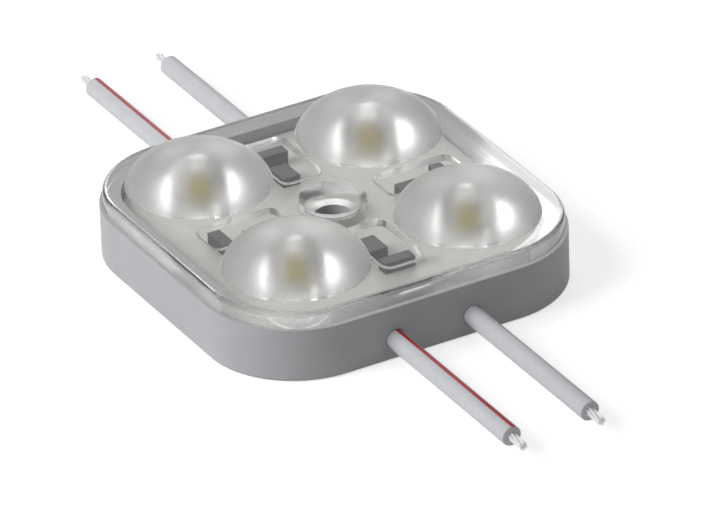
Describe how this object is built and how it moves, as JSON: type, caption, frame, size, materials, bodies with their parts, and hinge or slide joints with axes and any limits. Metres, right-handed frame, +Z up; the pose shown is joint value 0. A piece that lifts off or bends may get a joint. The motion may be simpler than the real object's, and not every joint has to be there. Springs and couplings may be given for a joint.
{
  "type": "led module",
  "caption": "Square sign light module: grey tray and clear cover with lens domes over a white circuit board, a countersunk centre hole, and bare-ended leads on opposite sides.",
  "frame": {"origin": "centre of the underside of the tray", "axes": "+X along the leads, towards the front leads; +Y towards the plain leads' side; +Z up through the screw hole, towards the domes"},
  "size_m": [0.0804, 0.036, 0.0104],
  "materials": {
    "tray_grey": "satin",
    "foam": "matte",
    "board_white": "satin",
    "clear": "polished",
    "package_white": "satin",
    "phosphor": "satin",
    "chip_dark": "matte",
    "lead_grey": "satin",
    "stripe_red": "satin",
    "tinned_metal": "satin",
    "solder": "satin",
    "seal_pale": "matte"
  },
  "bodies": {
    "root": {"housing": "tray_grey", "adhesive_pad": "foam", "circuit_board": "board_white", "lens_cover": "clear", "led_body_1": "package_white", "led_body_2": "package_white", "led_body_3": "package_white", "led_body_4": "package_white", "led_phosphor_1": "phosphor", "led_phosphor_2": "phosphor", "led_phosphor_3": "phosphor", "led_phosphor_4": "phosphor", "resistor_1": "chip_dark", "resistor_2": "chip_dark", "resistor_3": "chip_dark", "resistor_4": "chip_dark", "regulator_1": "chip_dark", "regulator_2": "chip_dark", "regulator_3": "chip_dark", "regulator_4": "chip_dark", "plus_lead_front": "lead_grey", "minus_lead_front": "lead_grey", "plus_lead_back": "lead_grey", "minus_lead_back": "lead_grey", "plus_stripe_front": "stripe_red", "plus_stripe_back": "stripe_red", "plus_core_front": "tinned_metal", "minus_core_front": "tinned_metal", "plus_core_back": "tinned_metal", "minus_core_back": "tinned_metal", "plus_solder_front": "solder", "minus_solder_front": "solder", "plus_solder_back": "solder", "minus_solder_back": "solder", "plus_seal_front": "seal_pale", "minus_seal_front": "seal_pale", "plus_seal_back": "seal_pale", "minus_seal_back": "seal_pale"}
  },
  "joints": []
}
